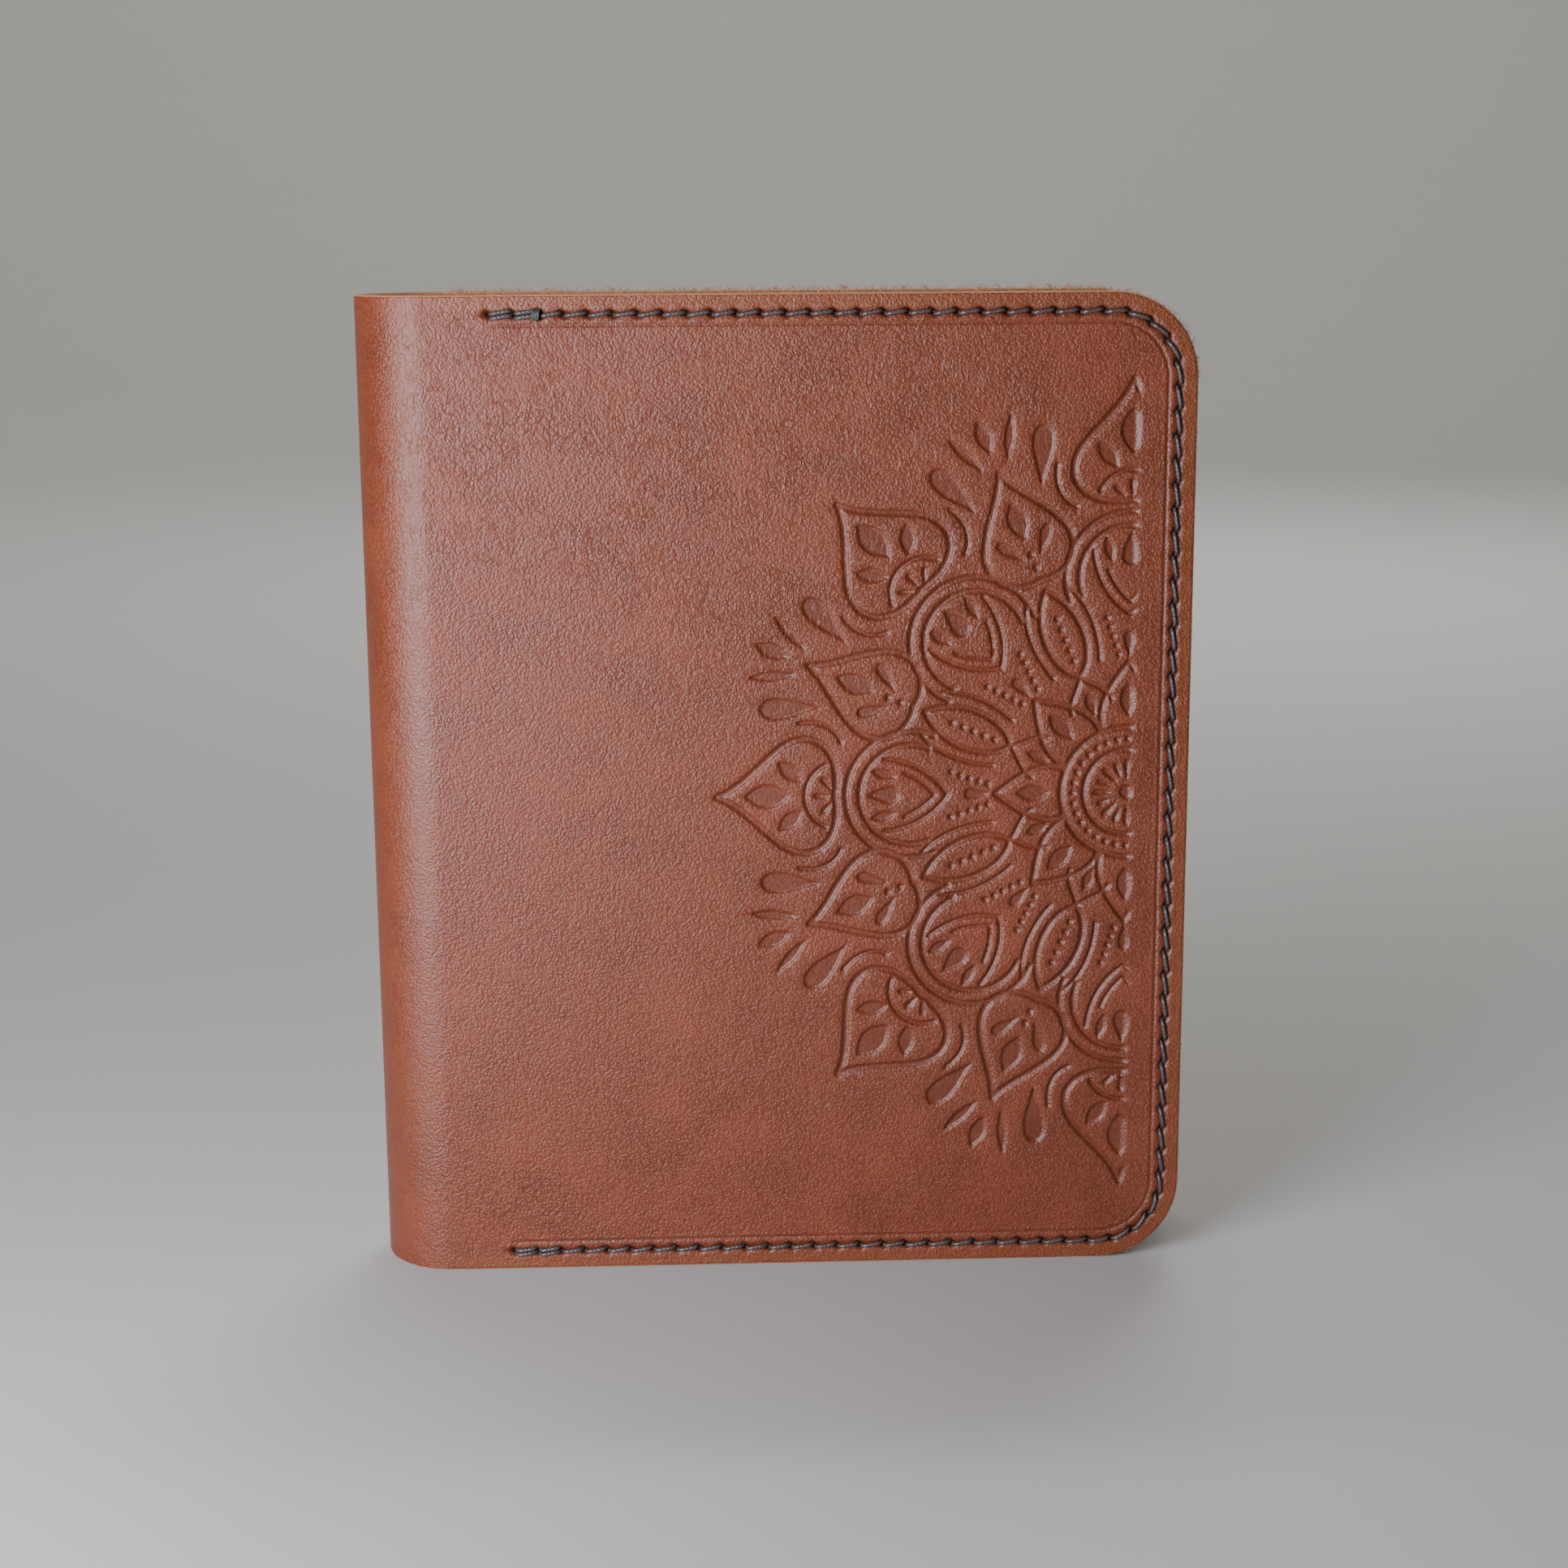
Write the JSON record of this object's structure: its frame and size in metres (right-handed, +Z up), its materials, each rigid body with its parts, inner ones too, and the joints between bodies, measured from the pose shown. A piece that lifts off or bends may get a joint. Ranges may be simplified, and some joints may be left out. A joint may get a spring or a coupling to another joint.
{
  "type": "leather notebook cover",
  "caption": "Book-style leather cover for a pocket notebook: rounded spine, hand-stitched inner sleeves and a pressed rosette at the fore-edge.",
  "frame": {"origin": "middle of the bottom edge of the closed cover, which stands upright on it", "axes": "+Z up along the spine, +X from the spine to the fore-edge, -Y out of the front cover"},
  "size_m": [0.133, 0.024, 0.16],
  "materials": {
    "outer_leather": "reddish cognac pebbled leather with a soft waxed sheen",
    "inner_leather": "thin cognac leather, smoother and more matte",
    "waxed_thread": "dark brown twisted waxed thread"
  },
  "bodies": {
    "spine": {"spine_middle": "outer_leather"},
    "front_bend_1": {"front_spine_strip_1": "outer_leather"},
    "front_bend_2": {"front_spine_strip_2": "outer_leather"},
    "front": {"front_cover": "outer_leather", "front_sleeve": "inner_leather", "front_seam_thread": "waxed_thread"},
    "back_bend_1": {"back_spine_strip_1": "outer_leather"},
    "back_bend_2": {"back_spine_strip_2": "outer_leather"},
    "back": {"back_cover": "outer_leather", "back_sleeve": "inner_leather", "back_seam_thread": "waxed_thread"}
  },
  "joints": [
    {"name": "front_spine_bend_1", "type": "hinge", "parent": "spine", "child": "front_bend_1", "pos_m": [-0.06525, -0.00288, 0], "axis": [0, 0, -1], "range_deg": [-1.1, 30]},
    {"name": "front_spine_bend_2", "type": "hinge", "parent": "front_bend_1", "child": "front_bend_2", "pos_m": [-0.06237, -0.00787, 0], "axis": [0, 0, -1], "range_deg": [-1.1, 30]},
    {"name": "front_cover_hinge", "type": "hinge", "parent": "front_bend_2", "child": "front", "pos_m": [-0.05738, -0.01075, 0], "axis": [0, 0, -1], "range_deg": [-1.1, 30]},
    {"name": "back_spine_bend_1", "type": "hinge", "parent": "spine", "child": "back_bend_1", "pos_m": [-0.06525, 0.00288, 0], "axis": [0, 0, 1], "range_deg": [-1.1, 30]},
    {"name": "back_spine_bend_2", "type": "hinge", "parent": "back_bend_1", "child": "back_bend_2", "pos_m": [-0.06237, 0.00787, 0], "axis": [0, 0, 1], "range_deg": [-1.1, 30]},
    {"name": "back_cover_hinge", "type": "hinge", "parent": "back_bend_2", "child": "back", "pos_m": [-0.05738, 0.01075, 0], "axis": [0, 0, 1], "range_deg": [-1.1, 30]}
  ],
  "couplings": [
    {"joint": "front_spine_bend_1", "follows": "front_cover_hinge", "ratio": 1},
    {"joint": "front_spine_bend_2", "follows": "front_cover_hinge", "ratio": 1},
    {"joint": "back_spine_bend_1", "follows": "back_cover_hinge", "ratio": 1},
    {"joint": "back_spine_bend_2", "follows": "back_cover_hinge", "ratio": 1}
  ]
}
